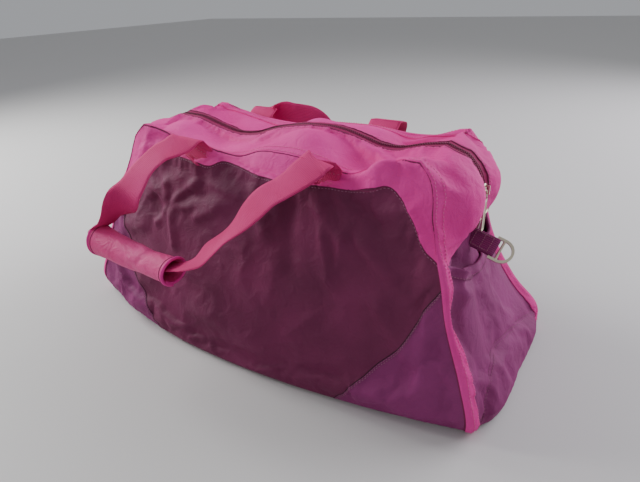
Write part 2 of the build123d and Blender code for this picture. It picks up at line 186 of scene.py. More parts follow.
def fold(x, z, row):
    """Ridge (or valley, if its height is negative) along a line on a wall, fading at both ends.
    A row holds the line's start and end (x, z), its width and its height, in millimetres."""
    x0, z0, x1, z1, width, height = (value / 1000 for value in row)
    dx, dz = x1 - x0, z1 - z0
    length = math.hypot(dx, dz)
    along = ((x - x0) * dx + (z - z0) * dz) / length**2
    across = ((x - x0) * dz - (z - z0) * dx) / length
    fade = np.clip(np.minimum(along, 1 - along) * 3 + 0.5, 0, 1)
    fade = fade * fade * (3 - 2 * fade)
    return fold_strength * height * fade * bump(across, 0, width)


fold_strength = 1.35
front_folds = (
    # star of creases under the left strap
    (-152, 176, -120, 158, 4.5, 2.6), (-112, 160, -70, 192, 5, 3.4),
    (-108, 156, -78, 160, 4.5, 2.8), (-113, 152, -98, 112, 5, 3.6),
    (-136, 130, -120, 150, 4.5, 2.8), (-128, 182, -119, 164, 4.5, 2.6),
    (-100, 172, -60, 172, 7, -3.0), (-145, 160, -125, 140, 7, -2.8),
    (-80, 166, -20, 172, 6, 2.8),
    # folds that hang from the yoke
    (-60, 192, -10, 180, 6, 4), (-75, 150, -40, 165, 6, 3.5), (0, 198, 30, 150, 9, 4),
    (45, 200, 60, 120, 10, -3.5), (70, 196, 120, 150, 7, 3.5), (85, 170, 105, 120, 5, 3),
    (100, 200, 150, 178, 7, -4), (125, 165, 165, 140, 6, 3),
    # folds low on the wall and at its corners
    (-210, 110, -150, 130, 12, 4), (-220, 60, -120, 70, 14, 5), (-60, 60, 40, 45, 14, 4),
    (60, 60, 95, 90, 4, 2), (150, 120, 190, 70, 8, 4), (195, 100, 205, 40, 10, 5),
)
back_folds = (
    (-120, 190, -60, 110, 10, 5), (-20, 200, 30, 130, 9, -4.5), (60, 190, 130, 120, 10, 5),
    (-170, 90, -60, 70, 14, 5), (50, 70, 160, 50, 14, 5), (130, 170, 160, 120, 7, 4),
)


def crumple(x, z, side):
    """Soft creases all over a wall: ridges of a slow noise."""
    out = []
    for a, b in zip(np.ravel(x), np.ravel(z)):
        p = Vector((float(a) * 15 + 3 * side, float(b) * 19, 1.7 * side))
        p += 0.5 * Vector((noise.noise(p * 0.7), noise.noise(p * 0.7 + Vector((9, 0, 0))), 0))
        ridge = (1 - min(abs(noise.noise(p)) * 2.6, 1)) ** 2
        small = (1 - min(abs(noise.noise(p * 2.3)) * 2.6, 1)) ** 2
        out.append(0.0026 * ridge + 0.0011 * small)
    return np.reshape(out, np.shape(x)) if np.shape(x) else out[0]


def wall_point(side, across, h):
    """Front (side -1) or back (+1) wall: across runs -1 to 1, h from the floor to the top seam."""
    right = side_x(binding_x, h * top_z, 1) + back_foot(side, h)
    left = side_x(binding_x, h * top_z, -1)
    x = left + (right - left) * (across + 1) / 2
    z = h * top_seam(side)(x)
    edge = binding_y(h * top_z)
    crown_x = -0.05 if side < 0 else 0.0
    reach = np.where(x > crown_x, right - crown_x, crown_x - left)
    u = np.clip(np.abs(x - crown_x) / reach, 0, 1)
    depth = edge + (wall_y(h) - edge) * (1 - u * u)
    room = np.clip((1 - np.abs(across)) * 10, 0, 1) * np.clip((1 - h) * 9, 0, 1)
    room = room * np.clip(z / .03, 0, 1)
    for row in front_folds if side < 0 else back_folds:
        depth = depth + room * fold(x, z, row)
    depth = depth + room * crumple(x, z, side)
    if side < 0:
        # the yoke puffs up beside the right strap and hides the seam behind it
        puff = bump(x, .136, .022) * bump(h, .960, .040) * np.clip((1 - h) * 36, 0, 1)
        depth = depth + 0.011 * puff
        z = z + 0.0125 * puff
        depth = depth - 0.006 * bump(x, -.05, .03) * bump(z, .212, .02) * room
    return x, side * (depth - foot_round(z)), z


def band_point(part, place, v):
    """Gusset and ends: v runs -1 (front seam) to 1 (back seam)."""
    a = abs(v)
    sag = math.sin(math.pi * a)                  # 0 at the seam and at the zipper
    if part == "top":
        middle = zip_top_z(place)
        z = middle + (top_seam(v)(place) - middle) * a**1.6
        swell = 0.006 * bump(place, .03, .05) * sag
        dip = 0.007 * bump(place, -.055, .04) * sag
        dip += 0.006 * bump(place, .112, .022) * sag
        crease = 0.004 * math.sin(place * 70 + 2.5 * v) * sag**2
        return place, v * hinge_y, z + swell - dip + crease
    side = 1 if part == "right" else -1
    h = place
    z = h * top_z
    edge_x = float(side_x(binding_x, z, side))
    if part == "right":
        edge_x += float(back_foot(v, h))
    middle_x = float(side_x(end_x, z, side))
    if part == "left":
        middle_x += 0.009 * (1 - h)
    square = 1.8 + 1.0 * (1 - h) ** 2
    x = middle_x + (edge_x - middle_x) * a**square
    rise = min(max((z - waist_z) / (top_z - waist_z), 0), 1)
    x += side * 0.013 * math.sin(math.pi * rise) ** 0.8 * sag**1.2
    low = min(max((waist_z - z) / 0.1, 0), 1)
    x += side * 0.002 * low * sag
    y = v * float(binding_y(z))
    # the hollow behind the pocket's gaping mouth
    x -= side * 0.013 * bump(y, -.045, .024) * bump(z, .138, .013)
    pull_in = side * float(foot_round(z))
    if part == "left":
        z = h * float(front_seam_z(-shoulder_x))
    return x - pull_in, y, z


# ------------------------------------------------------------------ the whole skin as one mesh
columns, rows, band_rows = 156, 76, 44


def skin_mesh():
    """Every wall of the bag in one closed mesh, with where each point lies kept in layers."""
    bm = bmesh.new()
    zone_layer = bm.faces.layers.int.new("zone")
    layers = [bm.verts.layers.float.new(n) for n in ("px", "py", "pz")]

    def vert(point):
        v = bm.verts.new(point)
        for layer, c in zip(layers, point):
            v[layer] = c
        return v

    def sheet(grid, zone, flip):
        for i in range(len(grid) - 1):
            for j in range(len(grid[0]) - 1):
                corner = [grid[i][j], grid[i + 1][j], grid[i + 1][j + 1], grid[i][j + 1]]
                corner = [v for n, v in enumerate(corner) if v not in corner[:n]]
                if len(corner) > 2:
                    face = bm.faces.new(corner[::-1] if flip else corner)
                    face[zone_layer] = zone
                    face.smooth = True

    hs = np.linspace(0, 1, rows + 1)
    across = np.linspace(-1, 1, columns + 1)
    walls = {}
    for side in (-1, 1):
        grid = []
        for i in range(columns + 1):
            x, y, z = wall_point(side, across[i], hs)
            grid.append([vert((float(a), float(b), float(c))) for a, b, c in zip(x, y, z)])
        walls[side] = grid
        sheet(grid, 0 if side < 0 else 2, side > 0)
    # the band's stations go up the left end, over the top and down the right end
    stations = [("left", h) for h in hs[:-1]]
    stations += [("top", walls[-1][i][rows].co.x) for i in range(columns + 1)]
    stations += [("right", h) for h in hs[-2::-1]]
    edges = {}
    for side in (-1, 1):
        w = walls[side]
        edges[side] = [w[0][j] for j in range(rows)] + [c[rows] for c in w]
        edges[side] += [w[columns][j] for j in range(rows - 1, -1, -1)]
    band = []
    for n, (part, place) in enumerate(stations):
        start, end = edges[-1][n], edges[1][n]
        row = [start]
        first = Vector(band_point(part, place, -1))
        last = Vector(band_point(part, place, 1))
        for k in range(1, band_rows):
            v = -1 + 2 * k / band_rows
            p = Vector(band_point(part, place, v))
            share = (1 - v) / 2
            p += (start.co - first) * share + (end.co - last) * (1 - share)
            row.append(vert(p))
        row.append(end)
        band.append(row)
    sheet(band, 1, False)
    # base
    base = []
    for i in range(columns + 1):
        start, end = walls[-1][i][0], walls[1][i][0]
        if i in (0, columns):
            base.append(band[0] if i == 0 else band[-1])
            continue
        row = [start]
        for k in range(1, band_rows):
            row.append(vert(start.co.lerp(end.co, k / band_rows)))
        row.append(end)
        base.append(row)
    sheet(base, 3, True)
    bmesh.ops.recalc_face_normals(bm, faces=bm.faces)
    return bm


def smooth_step(x):
    """0 below 0, 1 above 1, and smooth between."""
    x = min(max(x, 0.0), 1.0)
    return x * x * (3 - 2 * x)


def hold_of(p):
    """How firmly cloth is held: seams, base and zipper stay, the panels between may move."""
    x, y, z = p
    if z < 0.004:
        return 1.0
    hold = 0.0
    edge = float(binding_y(min(z, top_z)))
    if abs(y) < edge - 0.002 and (z > above_z or abs(x) > 0.19):
        hold = max(hold, 1 - abs(y) / 0.012)
    hold = max(hold, 1 - abs(abs(y) - edge) / 0.004 if abs(x) > 0.16 else 0)
    hold = max(hold, 1 - abs(z - float(yoke_seam(x))) / 0.003 if y < -0.05 else 0)
    hold = max(hold, 1 - z / 0.015)
    return smooth_step(hold)


def simulate(bm, shrink, cap, frames):
    """Lets slightly oversized cloth buckle between its seams, and keeps it near the shape."""
    mesh = bpy.data.meshes.new("cloth_work")
    bm.to_mesh(mesh)
    obj = bpy.data.objects.new("cloth_work", mesh)
    bpy.context.scene.collection.objects.link(obj)
    start = np.array([v.co for v in mesh.vertices])
    moved = start.copy()
    for i, v in enumerate(mesh.vertices):
        moved[i] += np.array(v.normal) * 0.0012 * noise.noise(v.co * 38)
    mesh.vertices.foreach_set("co", moved.ravel())
    group = obj.vertex_groups.new(name="hold")
    hold = np.array([hold_of(p) for p in start])
    for i, w in enumerate(hold):
        if w > 0:
            group.add([i], float(w), "REPLACE")
    cloth = obj.modifiers.new("cloth", "CLOTH")
    settings = dict(
        quality=6, mass=0.25, tension_stiffness=22, compression_stiffness=22, shear_stiffness=8,
        bending_stiffness=0.35, air_damping=3, vertex_group_mass="hold", pin_stiffness=4,
        shrink_min=-shrink, shrink_max=-shrink, use_pressure=True, uniform_pressure_force=0.6,
    )
    for name, value in settings.items():
        setattr(cloth.settings, name, value)
    cloth.settings.effector_weights.gravity = 0.15
    cloth.collision_settings.use_collision = False
    scene = bpy.context.scene
    cloth.point_cache.frame_start = 1
    cloth.point_cache.frame_end = frames
    for f in range(1, frames + 1):
        scene.frame_set(f)
    result = obj.evaluated_get(bpy.context.evaluated_depsgraph_get())
    end = np.zeros(len(mesh.vertices) * 3)
    result.data.vertices.foreach_get("co", end)
    end = end.reshape(-1, 3)
    step = end - start
    length = np.linalg.norm(step, axis=1, keepdims=True)
    step = step * np.minimum(1, cap / np.maximum(length, 1e-9)) * (1 - hold[:, None])
    bm.verts.ensure_lookup_table()
    for v, d in zip(bm.verts, step):
        v.co += Vector(d)
    scene.frame_set(1)
    bpy.data.objects.remove(obj)
    bpy.data.meshes.remove(mesh)


skin = skin_mesh()
simulate(skin, shrink=0.035, cap=6 * MM, frames=18)
plain_layers = [skin.verts.layers.float[n] for n in ("px", "py", "pz")]
zone_layer = skin.faces.layers.int["zone"]


def plain(v):
    """Place of a vertex before the cloth was wrinkled."""
    return [v[layer] for layer in plain_layers]


def cut(bm, zones, field):
    """Cuts the faces of some zones where field, a function of a point, changes sign."""
    values = {}

    def value(v):
        if v not in values:
            f = field(*plain(v))
            values[v] = 0.0 if abs(f) < 2e-5 else f
        return values[v]

    faces = [f for f in bm.faces if f[zone_layer] in zones]
    edges = {e for f in faces for e in f.edges}
    for e in edges:
        a, b = e.verts
        fa, fb = value(a), value(b)
        if fa * fb < 0:
            t = fa / (fa - fb)
            place = [c + (d - c) * t for c, d in zip(plain(a), plain(b))]
            _, v = bmesh.utils.edge_split(e, a, t)
            for layer, c in zip(plain_layers, place):
                v[layer] = c
            values[v] = 0.0
    for f in faces:
        on = [v for v in f.verts if value(v) == 0.0]
        if len(on) != 2:
            continue
        if any(on[1] in e.verts for e in on[0].link_edges if f in e.link_faces):
            continue
        if min(value(v) for v in f.verts) < 0 < max(value(v) for v in f.verts):
            bmesh.utils.face_split(f, on[0], on[1])


def seam_y(x, z):
    """Distance of the gusset's outer seam from the middle."""
    return float(binding_y(min(z, top_z))) if abs(x) > shoulder_x else hinge_y


def strip_width(x, z):
    """Width of the strip beside the outer seam; it runs down into the slightly narrower binding."""
    low = smooth_step((0.215 - z) / 0.06) if abs(x) > shoulder_x else 0
    return strip - 0.4 * MM * low


def corner_gap(x, y, z):
    """Distance of a wall's point from its end corner, less what the binding covers there."""
    side = -1 if y < 0 else 1
    h = min(z / float(top_seam(side)(x)), 1)
    if x > 0:
        gap = float(side_x(binding_x, h * top_z, 1) + back_foot(side, h)) - x
    else:
        gap = x - float(side_x(binding_x, h * top_z, -1))
    return gap - binding_turn(z)


def binding_turn(z):
    """Width of the binding that lies on the wall."""
    return 4.5 * MM * smooth_step((binding_top - z) / 0.03)


binding_top = 0.185
cut(skin, (0, 2), lambda x, y, z: corner_gap(x, y, z) if abs(x) > .15 and z < above_z else 1.0)
cut(skin, (0, 2), lambda x, y, z: z - float(yoke_seam(x)))
cut(skin, (0, 2), lambda x, y, z: z - float(corner_seam(abs(x))) if abs(x) > .1 else 1.0)
cut(skin, (1,), lambda x, y, z: z - waist_z)
cut(skin, (1,), lambda x, y, z: seam_y(x, z) - strip_width(x, z) - abs(y))
for place in (-blend_x, -flap_x, flap_x, blend_x):
    cut(skin, (1,), lambda x, y, z: x - place if z > above_z else math.copysign(1, x))
for place in (-tape_half, tape_half):
    cut(skin, (1,), lambda x, y, z: y - place if z > 0.15 else math.copysign(1, y))
skin.normal_update()


def region(face):
    """The piece that a face of the skin belongs to."""
    x, y, z = (sum(c) / len(face.verts) for c in zip(*map(plain, face.verts)))
    zone = face[zone_layer]
    if zone == 3:
        return "base_panel"
    end = "right" if x > 0 else "left"
    if zone in (0, 2):
        wall = "front" if zone == 0 else "back"
        if abs(x) > .15 and z < binding_top and corner_gap(x, y, z) < 0:
            return f"strip_{wall}_{end}"
        if z > float(yoke_seam(x)):
            return wall + "_yoke"
        if abs(x) > .112 and z < float(corner_seam(abs(x))):
            return f"{wall}_corner_{end}"
        return wall + "_panel"
    wall = "front" if y < 0 else "back"
    if abs(y) > seam_y(x, z) - strip_width(x, z):
        kind = "strip"
    elif z < waist_z:
        return "end_panel_" + end
    else:
        kind = "tape" if abs(y) < tape_half else "gusset"
    if z > above_z and abs(x) < flap_x:
        return f"{kind}_{wall}_flap"
    if z > above_z and abs(x) < blend_x:
        return f"{kind}_{wall}_bend_{end}"
    if kind == "tape":
        return "tape_end_" + end
    return f"{kind}_{wall}_{end}"


skin.verts.ensure_lookup_table()
skin.verts.index_update()
skin_normals = np.array([v.normal for v in skin.verts])
skin_places = np.array([v.co for v in skin.verts])
groups = {}
for face in skin.faces:
    groups.setdefault(region(face), []).append(tuple(v.index for v in face.verts))

triangles = []
for face in skin.faces:
    corner = [v.index for v in face.verts]
    triangles += [(corner[0], corner[k], corner[k + 1]) for k in range(1, len(corner) - 1)]
plain_places = [Vector(plain(v)) for v in skin.verts]
plain_tree = BVHTree.FromPolygons(plain_places, triangles)


def on_skin(point, lift=0.0):
    """Where a point of the unwrinkled form is on the finished cloth, and the normal there."""
    found, _, index, _ = plain_tree.find_nearest(Vector(point))
    a, b, c = triangles[index]
    place = barycentric_transform(
        found, plain_places[a], plain_places[b], plain_places[c],
        Vector(skin_places[a]), Vector(skin_places[b]), Vector(skin_places[c]),
    )
    normal = Vector(skin_normals[a]) + Vector(skin_normals[b]) + Vector(skin_normals[c])
    normal.normalize()
    return place + normal * lift, normal


def link(name, data):
    """New object in the scene."""
    obj = bpy.data.objects.new(name, data)
    bpy.context.scene.collection.objects.link(obj)
    return obj


def new_object(name, verts, faces, material):
    mesh = bpy.data.meshes.new(name)
    mesh.from_pydata([tuple(v) for v in verts], [], faces)
    mesh.update()
    mesh.materials.append(material)
    mesh.polygons.foreach_set("use_smooth", [True] * len(mesh.polygons))
    return link(name, mesh)


def piece_from_skin(name, material, raised=0.0):
    """A panel with thickness, shaded with the whole skin's normals so that no join shows."""
    faces = groups[name]
    used = sorted({i for f in faces for i in f})
    local = {i: n for n, i in enumerate(used)}
    count = len(used)
    outer = skin_places[used] + skin_normals[used] * raised
    inner = skin_places[used] - skin_normals[used] * cloth_thickness
    top = [tuple(local[i] for i in f) for f in faces]
    low = [tuple(local[i] + count for i in reversed(f)) for f in faces]
    edges = {(a, b): None for f in faces for a, b in zip(f, f[1:] + f[:1])}
    sides = [
        (local[b], local[a], local[a] + count, local[b] + count)
        for a, b in edges if (b, a) not in edges
    ]
    obj = new_object("bag_" + name, np.vstack([outer, inner]), top + low + sides, material)
    mesh = obj.data
    normals = np.zeros((len(mesh.loops), 3))
    loop = 0
    for poly in mesh.polygons:
        for vi in poly.vertices:
            if poly.index < len(top):
                normals[loop] = skin_normals[used[vi]]
            elif poly.index < 2 * len(top):
                normals[loop] = -skin_normals[used[vi - count]]
            else:
                normals[loop] = poly.normal
            loop += 1
    mesh.normals_split_custom_set([tuple(n) for n in normals])
    return obj


# ------------------------------------------------------------------ materials
def srgb(colour):
    """Linear colour with alpha, from 8-bit sRGB."""
    shares = [c / 255 for c in colour]
    return *(c / 12.92 if c <= 0.04045 else ((c + 0.055) / 1.055) ** 2.4 for c in shares), 1.0


def feed(target, inputs):
    """Sets a node's inputs, each by a value or by the socket that feeds it."""
    for name, value in inputs.items():
        socket = target.inputs[name]
        if isinstance(value, bpy.types.NodeSocket):
            target.id_data.links.new(value, socket)
        else:
            socket.default_value = value


def node(tree, kind, **inputs):
    """New shader node. An underscore in an input's name stands for a space."""
    made = tree.nodes.new("ShaderNode" + kind)
    feed(made, {name.replace("_", " "): value for name, value in inputs.items()})
    return made


def mix(tree, share, first, second, blend_type="MIX"):
    """Colour mixed from two others."""
    made = tree.nodes.new("ShaderNodeMix")
    made.data_type, made.blend_type = "RGBA", blend_type
    feed(made, {0: share, 6: first, 7: second})
    return made.outputs[2]


def bump_node(tree, height, strength, distance, under=None):
    """Normal roughened by a height, on top of another normal if one is given."""
    made = node(tree, "Bump", Strength=strength, Distance=distance, Height=height)
    if under:
        feed(made, {"Normal": under})
    return made.outputs["Normal"]


def new_material(name):
    material = bpy.data.materials.new(name)
    material.use_nodes = True
    return material, material.node_tree, material.node_tree.nodes["Principled BSDF"]


twill_scale, twill_depth = 1700.0 / 6.28, 0.10


def fabric(name, base, light, rough=0.78, sheen=0.35, crumple=0.25):
    """Peached nylon: slow colour drift, small wrinkles and a fine twill."""
    material, t, bsdf = new_material(name)
    base, light = srgb(base), srgb(light)
    place = node(t, "TexCoord").outputs["Object"]
    drift = node(t, "TexNoise", Vector=place, Scale=14.0, Detail=3.0).outputs["Fac"]
    grain = node(t, "TexNoise", Vector=place, Scale=900.0, Detail=2.0).outputs["Color"]
    share = node(t, "MapRange", Value=drift, From_Min=0.35, From_Max=0.75).outputs["Result"]
    drifted = mix(t, share, base, light)
    speckled = mix(t, 0.35, drifted, grain, "MULTIPLY")
    twill = node(t, "TexWave", Vector=place, Scale=twill_scale, Distortion=0.6)
    twill.bands_direction = "DIAGONAL"
    wrinkle = node(
        t, "TexNoise", Vector=place, Scale=75.0, Detail=6.0, Roughness=0.62, Distortion=0.8,
    )
    normal = bump_node(t, twill.outputs["Fac"], twill_depth, 0.4 * MM)
    normal = bump_node(t, wrinkle.outputs["Fac"], crumple, 4 * MM, normal)
    feed(bsdf, {
        "Base Color": mix(t, 0.5, drifted, speckled), "Normal": normal, "Roughness": rough,
        "Sheen Weight": sheen, "Sheen Roughness": 0.45, "Sheen Tint": base,
        "Specular IOR Level": 0.28,
    })
    return material


def rib_bumps(material):
    """Adds the ribs of webbing, on coordinates that run across and along it."""
    t = material.node_tree
    bsdf = t.nodes["Principled BSDF"]
    place = node(t, "UVMap").outputs["UV"]
    normal = bsdf.inputs["Normal"].links[0].from_socket
    for pitch, direction, strength in ((1.9 * MM, "X", 0.55), (1.5 * MM, "Y", 0.35)):
        rib = node(t, "TexWave", Vector=place, Scale=0.314 / pitch, Distortion=0.3)
        rib.bands_direction = direction
        normal = bump_node(t, rib.outputs["Fac"], strength, 0.6 * MM, normal)
    feed(bsdf, {"Normal": normal})


def metal(name, colour, rough):
    material, t, bsdf = new_material(name)
    place = node(t, "TexCoord").outputs["Object"]
    wear = node(t, "TexNoise", Vector=place, Scale=420.0, Detail=5.0).outputs["Fac"]
    worn = node(t, "MapRange", Value=wear, To_Min=rough - 0.08, To_Max=rough + 0.16)
    feed(bsdf, {
        "Metallic": 1.0, "Base Color": srgb(colour), "Roughness": worn.outputs["Result"],
        "Normal": bump_node(t, wear, 0.12, 0.3 * MM),
    })
    return material


pink = fabric("pink_cloth", (228, 48, 150), (244, 74, 170), rough=0.72, sheen=0.2, crumple=0.5)
plum = fabric("plum_cloth", (102, 30, 68), (126, 42, 86), rough=0.66, sheen=0.6, crumple=0.5)
plum_side = fabric(
    "plum_side_cloth", (126, 38, 96), (150, 54, 118), rough=0.66, sheen=0.6, crumple=0.45,
)
tape_cloth = fabric("zipper_cloth", (156, 30, 90), (172, 42, 104), sheen=0.1, crumple=0.05)
webbing = fabric("webbing_cloth", (206, 40, 112), (224, 60, 136), sheen=0.2, crumple=0.08)
plum_web = fabric("plum_webbing_cloth", (122, 34, 92), (144, 48, 112), crumple=0.06)
grip_cloth = fabric(
    "grip_cloth", (226, 68, 138), (242, 96, 164), rough=0.55, sheen=0.2, crumple=0.8,
)
thread_pink = fabric("thread_pink", (228, 104, 166), (240, 124, 184), crumple=0.02)
thread_plum = fabric("thread_plum", (150, 90, 120), (165, 105, 135), crumple=0.02)
thread_webbing = fabric("thread_webbing", (200, 90, 136), (210, 104, 150), crumple=0.02)
# painted shade: dark cloth for thin tubes along the seams, standing in for the shadow in each seam's groove
seam_shade_pink = fabric("seam_shadow", (120, 36, 78), (130, 44, 86), crumple=0.02)
seam_shade_plum = fabric("seam_shadow_plum", (60, 26, 42), (70, 32, 50), crumple=0.02)
coil_material = fabric(
    "zipper_coil", (112, 18, 64), (130, 30, 78), rough=0.55, sheen=0.1, crumple=0.02,
)
board_material = fabric("board", (34, 32, 36), (44, 42, 46), sheen=0.0, crumple=0.02)
champagne = metal("champagne_metal", (214, 206, 184), 0.30)
rib_bumps(webbing)
rib_bumps(plum_web)


# ------------------------------------------------------------------ the panels as pieces
def attach(obj, body):
    """Fixes a piece to a body, or lets it bend beside a flap's hinge or past the flap's ends."""
    kind, _, rest = body.partition("_")
    if kind == "hem":
        side = -1 if rest == "front" else 1
        inner = (0, side * (hinge_y - strip_width(0, top_z)), 0)
        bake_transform(obj, "flap_" + rest, "bag", inner, (0, side * hinge_y, 0))
    elif kind == "bend":
        wall, end = rest.split("_")
        side = 1 if end == "right" else -1
        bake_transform(obj, "flap_" + wall, "bag", (side * flap_x, 0, 0), (side * blend_x, 0, 0))
    else:
        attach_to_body(obj, body)


def place_piece(obj, slot_name, body, *stands_for):
    """Gives a piece its body and hides the CAD nodes that it stands for; its finish (slot_name) is not used.
    """
    attach(obj, body)
    if stands_for:
        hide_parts(*stands_for)
    return obj


def body_at(x, y, z):
    """The body that a point of the skin moves with."""
    if z < above_z or abs(x) > blend_x or abs(y) > hinge_y + 0.2 * MM:
        return "bag"
    wall = "front" if y < 0 else "back"
    if abs(x) < flap_x:
        return "flap_" + wall
    return f"bend_{wall}_{'right' if x > 0 else 'left'}"


for name in groups:
    words = name.split("_")
    kind, wall, end = words[0], words[1], words[-1]
    material, slot_name, raised = plum_side, "plum_side_fabric", 0.0
    if kind in ("gusset", "strip") or "yoke" in name:
        material, slot_name = pink, "pink_fabric"
        raised = {"strip": 1.3 * MM, "gusset": 0.3 * MM}.get(kind, 0.7 * MM)
    elif kind == "tape":
        material, slot_name, raised = tape_cloth, "zipper_tape", -0.3 * MM
    elif name in ("front_panel", "back_panel"):
        material, slot_name = plum, "plum_fabric"
    body, stands_for = "bag", [name]
    if end == "flap":
        body = ("hem_" if kind == "strip" else "flap_") + wall
        stands_for = {
            "tape": ["zipper_tape_" + wall, "zipper_coil_" + wall], "gusset": ["top_flap_" + wall],
        }.get(kind, [])
    elif "bend" in words:
        body, stands_for = f"bend_{wall}_{end}", []
    elif kind == "tape":
        stands_for = [f"zipper_tape_{end}_end", f"zipper_coil_{end}_end"]
    elif kind == "strip":
        stands_for = [f"binding_{wall}_{end}"]
    place_piece(piece_from_skin(name, material, raised), slot_name, body, *stands_for)


# ------------------------------------------------------------------ thread, seams and zipper
class Bundle:
    """Gathers many small shapes, one mesh for each body that they move with."""

    def __init__(self, name, material, slot_name):
        self.name, self.material, self.slot_name = name, material, slot_name
        self.parts = {}

    def add(self, body, verts, faces):
        all_verts, all_faces = self.parts.setdefault(body, ([], []))
        n = len(all_verts)
        all_verts += [tuple(v) for v in verts]
        all_faces += [tuple(i + n for i in f) for f in faces]

    def make(self):
        for body, (verts, faces) in self.parts.items():
            obj = new_object(f"{self.name}_{body}", verts, faces, self.material)
            place_piece(obj, self.slot_name, body)


def grain(place, along, normal, length, width, height):
    """Small rounded bar: one stitch, or one tooth of the zipper."""
    along = along.normalized()
    side = normal.cross(along).normalized()
    up = along.cross(side)
    if up.dot(normal) < 0:
        up = -up
    verts = [place - along * length / 2]
    for share in (-0.32, 0.32):
        for a in range(6):
            t = a * math.pi / 3
            verts.append(
                place + along * length * share + side * math.cos(t) * width / 2
                + up * math.sin(t) * height / 2
            )
    verts.append(place + along * length / 2)
    faces = [(0, 1 + (a + 1) % 6, 1 + a) for a in range(6)]
    faces += [(1 + a, 1 + (a + 1) % 6, 7 + (a + 1) % 6, 7 + a) for a in range(6)]
    faces += [(7 + a, 7 + (a + 1) % 6, 13) for a in range(6)]
    return verts, faces


def spaced(points, pitch):
    """Points at even spacing along a line."""
    points = [Vector(p) for p in points]
    lengths = [0.0]
    for a, b in zip(points, points[1:]):
        lengths.append(lengths[-1] + (b - a).length)
    count = max(int(lengths[-1] / pitch), 1)
    out, k = [], 0
    for n in range(count + 1):
        want = lengths[-1] * n / count
        while k < len(points) - 2 and lengths[k + 1] < want:
            k += 1
        span = max(lengths[k + 1] - lengths[k], 1e-9)
        out.append(points[k].lerp(points[k + 1], (want - lengths[k]) / span))
    return out


def stitch_row(bundle, points, pitch=3.1 * MM, lift=0.5 * MM, on_top=0.0, body=None, hem=False):
    """A row of stitches along a line of the unwrinkled form."""
    row = spaced(points, pitch)
    for p, q in zip(row, row[1:]):
        a, normal = on_skin(p, on_top + lift)
        b, _ = on_skin(q, on_top + lift)
        if (b - a).length < 1e-5:
            continue
        astray = random.uniform(-1, 1)
        place = (a + b) / 2 + (b - a).cross(normal).normalized() * astray * 0.12 * MM
        verts, faces = grain(place, b - a, normal, pitch * 0.68, 0.75 * MM, 0.6 * MM)
        found = body or body_at(*p)
        bundle.add(found.replace("flap", "hem") if hem else found, verts, faces)


def rope(places, normals, radius, flat=0.7):
    """Thin tube along places, flattened towards the cloth."""
    verts, faces = [], []
    last = len(places) - 1
    for n, (p, normal) in enumerate(zip(places, normals)):
        along = (places[min(n + 1, last)] - places[max(n - 1, 0)]).normalized()
        side = normal.cross(along).normalized()
        for a in range(6):
            t = a * math.pi / 3
            verts.append(p + side * math.cos(t) * radius + normal * math.sin(t) * radius * flat)
    for n in range(last):
        for a in range(6):
            b = (a + 1) % 6
            faces.append((n * 6 + a, n * 6 + b, n * 6 + 6 + b, n * 6 + 6 + a))
    faces.append(tuple(range(5, -1, -1)))
    faces.append(tuple(last * 6 + a for a in range(6)))
    return verts, faces


def seam_groove(bundle, points, radius=0.8 * MM, lift=0.1 * MM, body=None, step=2.5 * MM):
    """Painted shade along a seam: a dark tube on its line, cut into runs that each move with one body."""
    run, runs = [], []
    for p in spaced(points, step):
        b = body or body_at(*p)
        if run and run[-1][0] != b:
            runs.append(run + [(run[-1][0], p)])
            run = []
        run.append((b, p))
    runs.append(run)
    for run in runs:
        if len(run) < 2:
            continue
        found = [on_skin(p, lift) for _, p in run]
        bundle.add(run[0][0], *rope([f[0] for f in found], [f[1] for f in found], radius))


def wall_at(side, x, z):
    """Point of a wall at a place seen from the front."""
    h = z / float(top_seam(side)(x))
    right = float(side_x(binding_x, h * top_z, 1) + back_foot(side, h))
    left = float(side_x(binding_x, h * top_z, -1))
    across = min(max(2 * (x - left) / (right - left) - 1, -1), 1)
    for _ in range(3):
        h = min(h + (z - float(wall_point(side, across, h)[2])) / top_z, 1)
    return Vector([float(c) for c in wall_point(side, across, h)])


def in_view(line, side):
    """Runs of a seam's line, without the stretch that the yoke's fold hides."""
    if side > 0:
        return [line]
    hidden = [n for n, p in enumerate(line) if .104 < p.x < .156 and p.z > .2]
    return [line[:hidden[0]], line[hidden[-1] + 1:]]


def gusset_line(distance, side, low_h=0.0):
    """Line on the gusset and ends, from the left foot over the top to the right foot. Distance is
    measured in from the outer seam if positive, or out from the middle if negative."""
    line = []
    for part, places in (
        ("left", np.linspace(low_h, 1, 70)), ("top", np.linspace(-.1705, .1705, 120)),
        ("right", np.linspace(1, low_h, 70)),
    ):
        for place in places:
            edge = hinge_y if part == "top" else float(binding_y(place * top_z))
            y = edge - distance if distance >= 0 else -distance
            line.append(Vector(band_point(part, float(place), side * y / edge)))
    return line


pale_thread = Bundle("stitches_pale", thread_pink, "pink_fabric")
plum_thread = Bundle("stitches_plum", thread_plum, "plum_side_fabric")
# painted seam shade on the pink cloth
pink_seam_shading = Bundle("painted_seam_shade", seam_shade_pink, "pink_fabric")
coil_shade = Bundle("coil_edges", coil_material, "zipper_coil")
# painted seam shade on the plum cloth
plum_seam_shading = Bundle("painted_seam_shade_plum", seam_shade_plum, "plum_fabric")

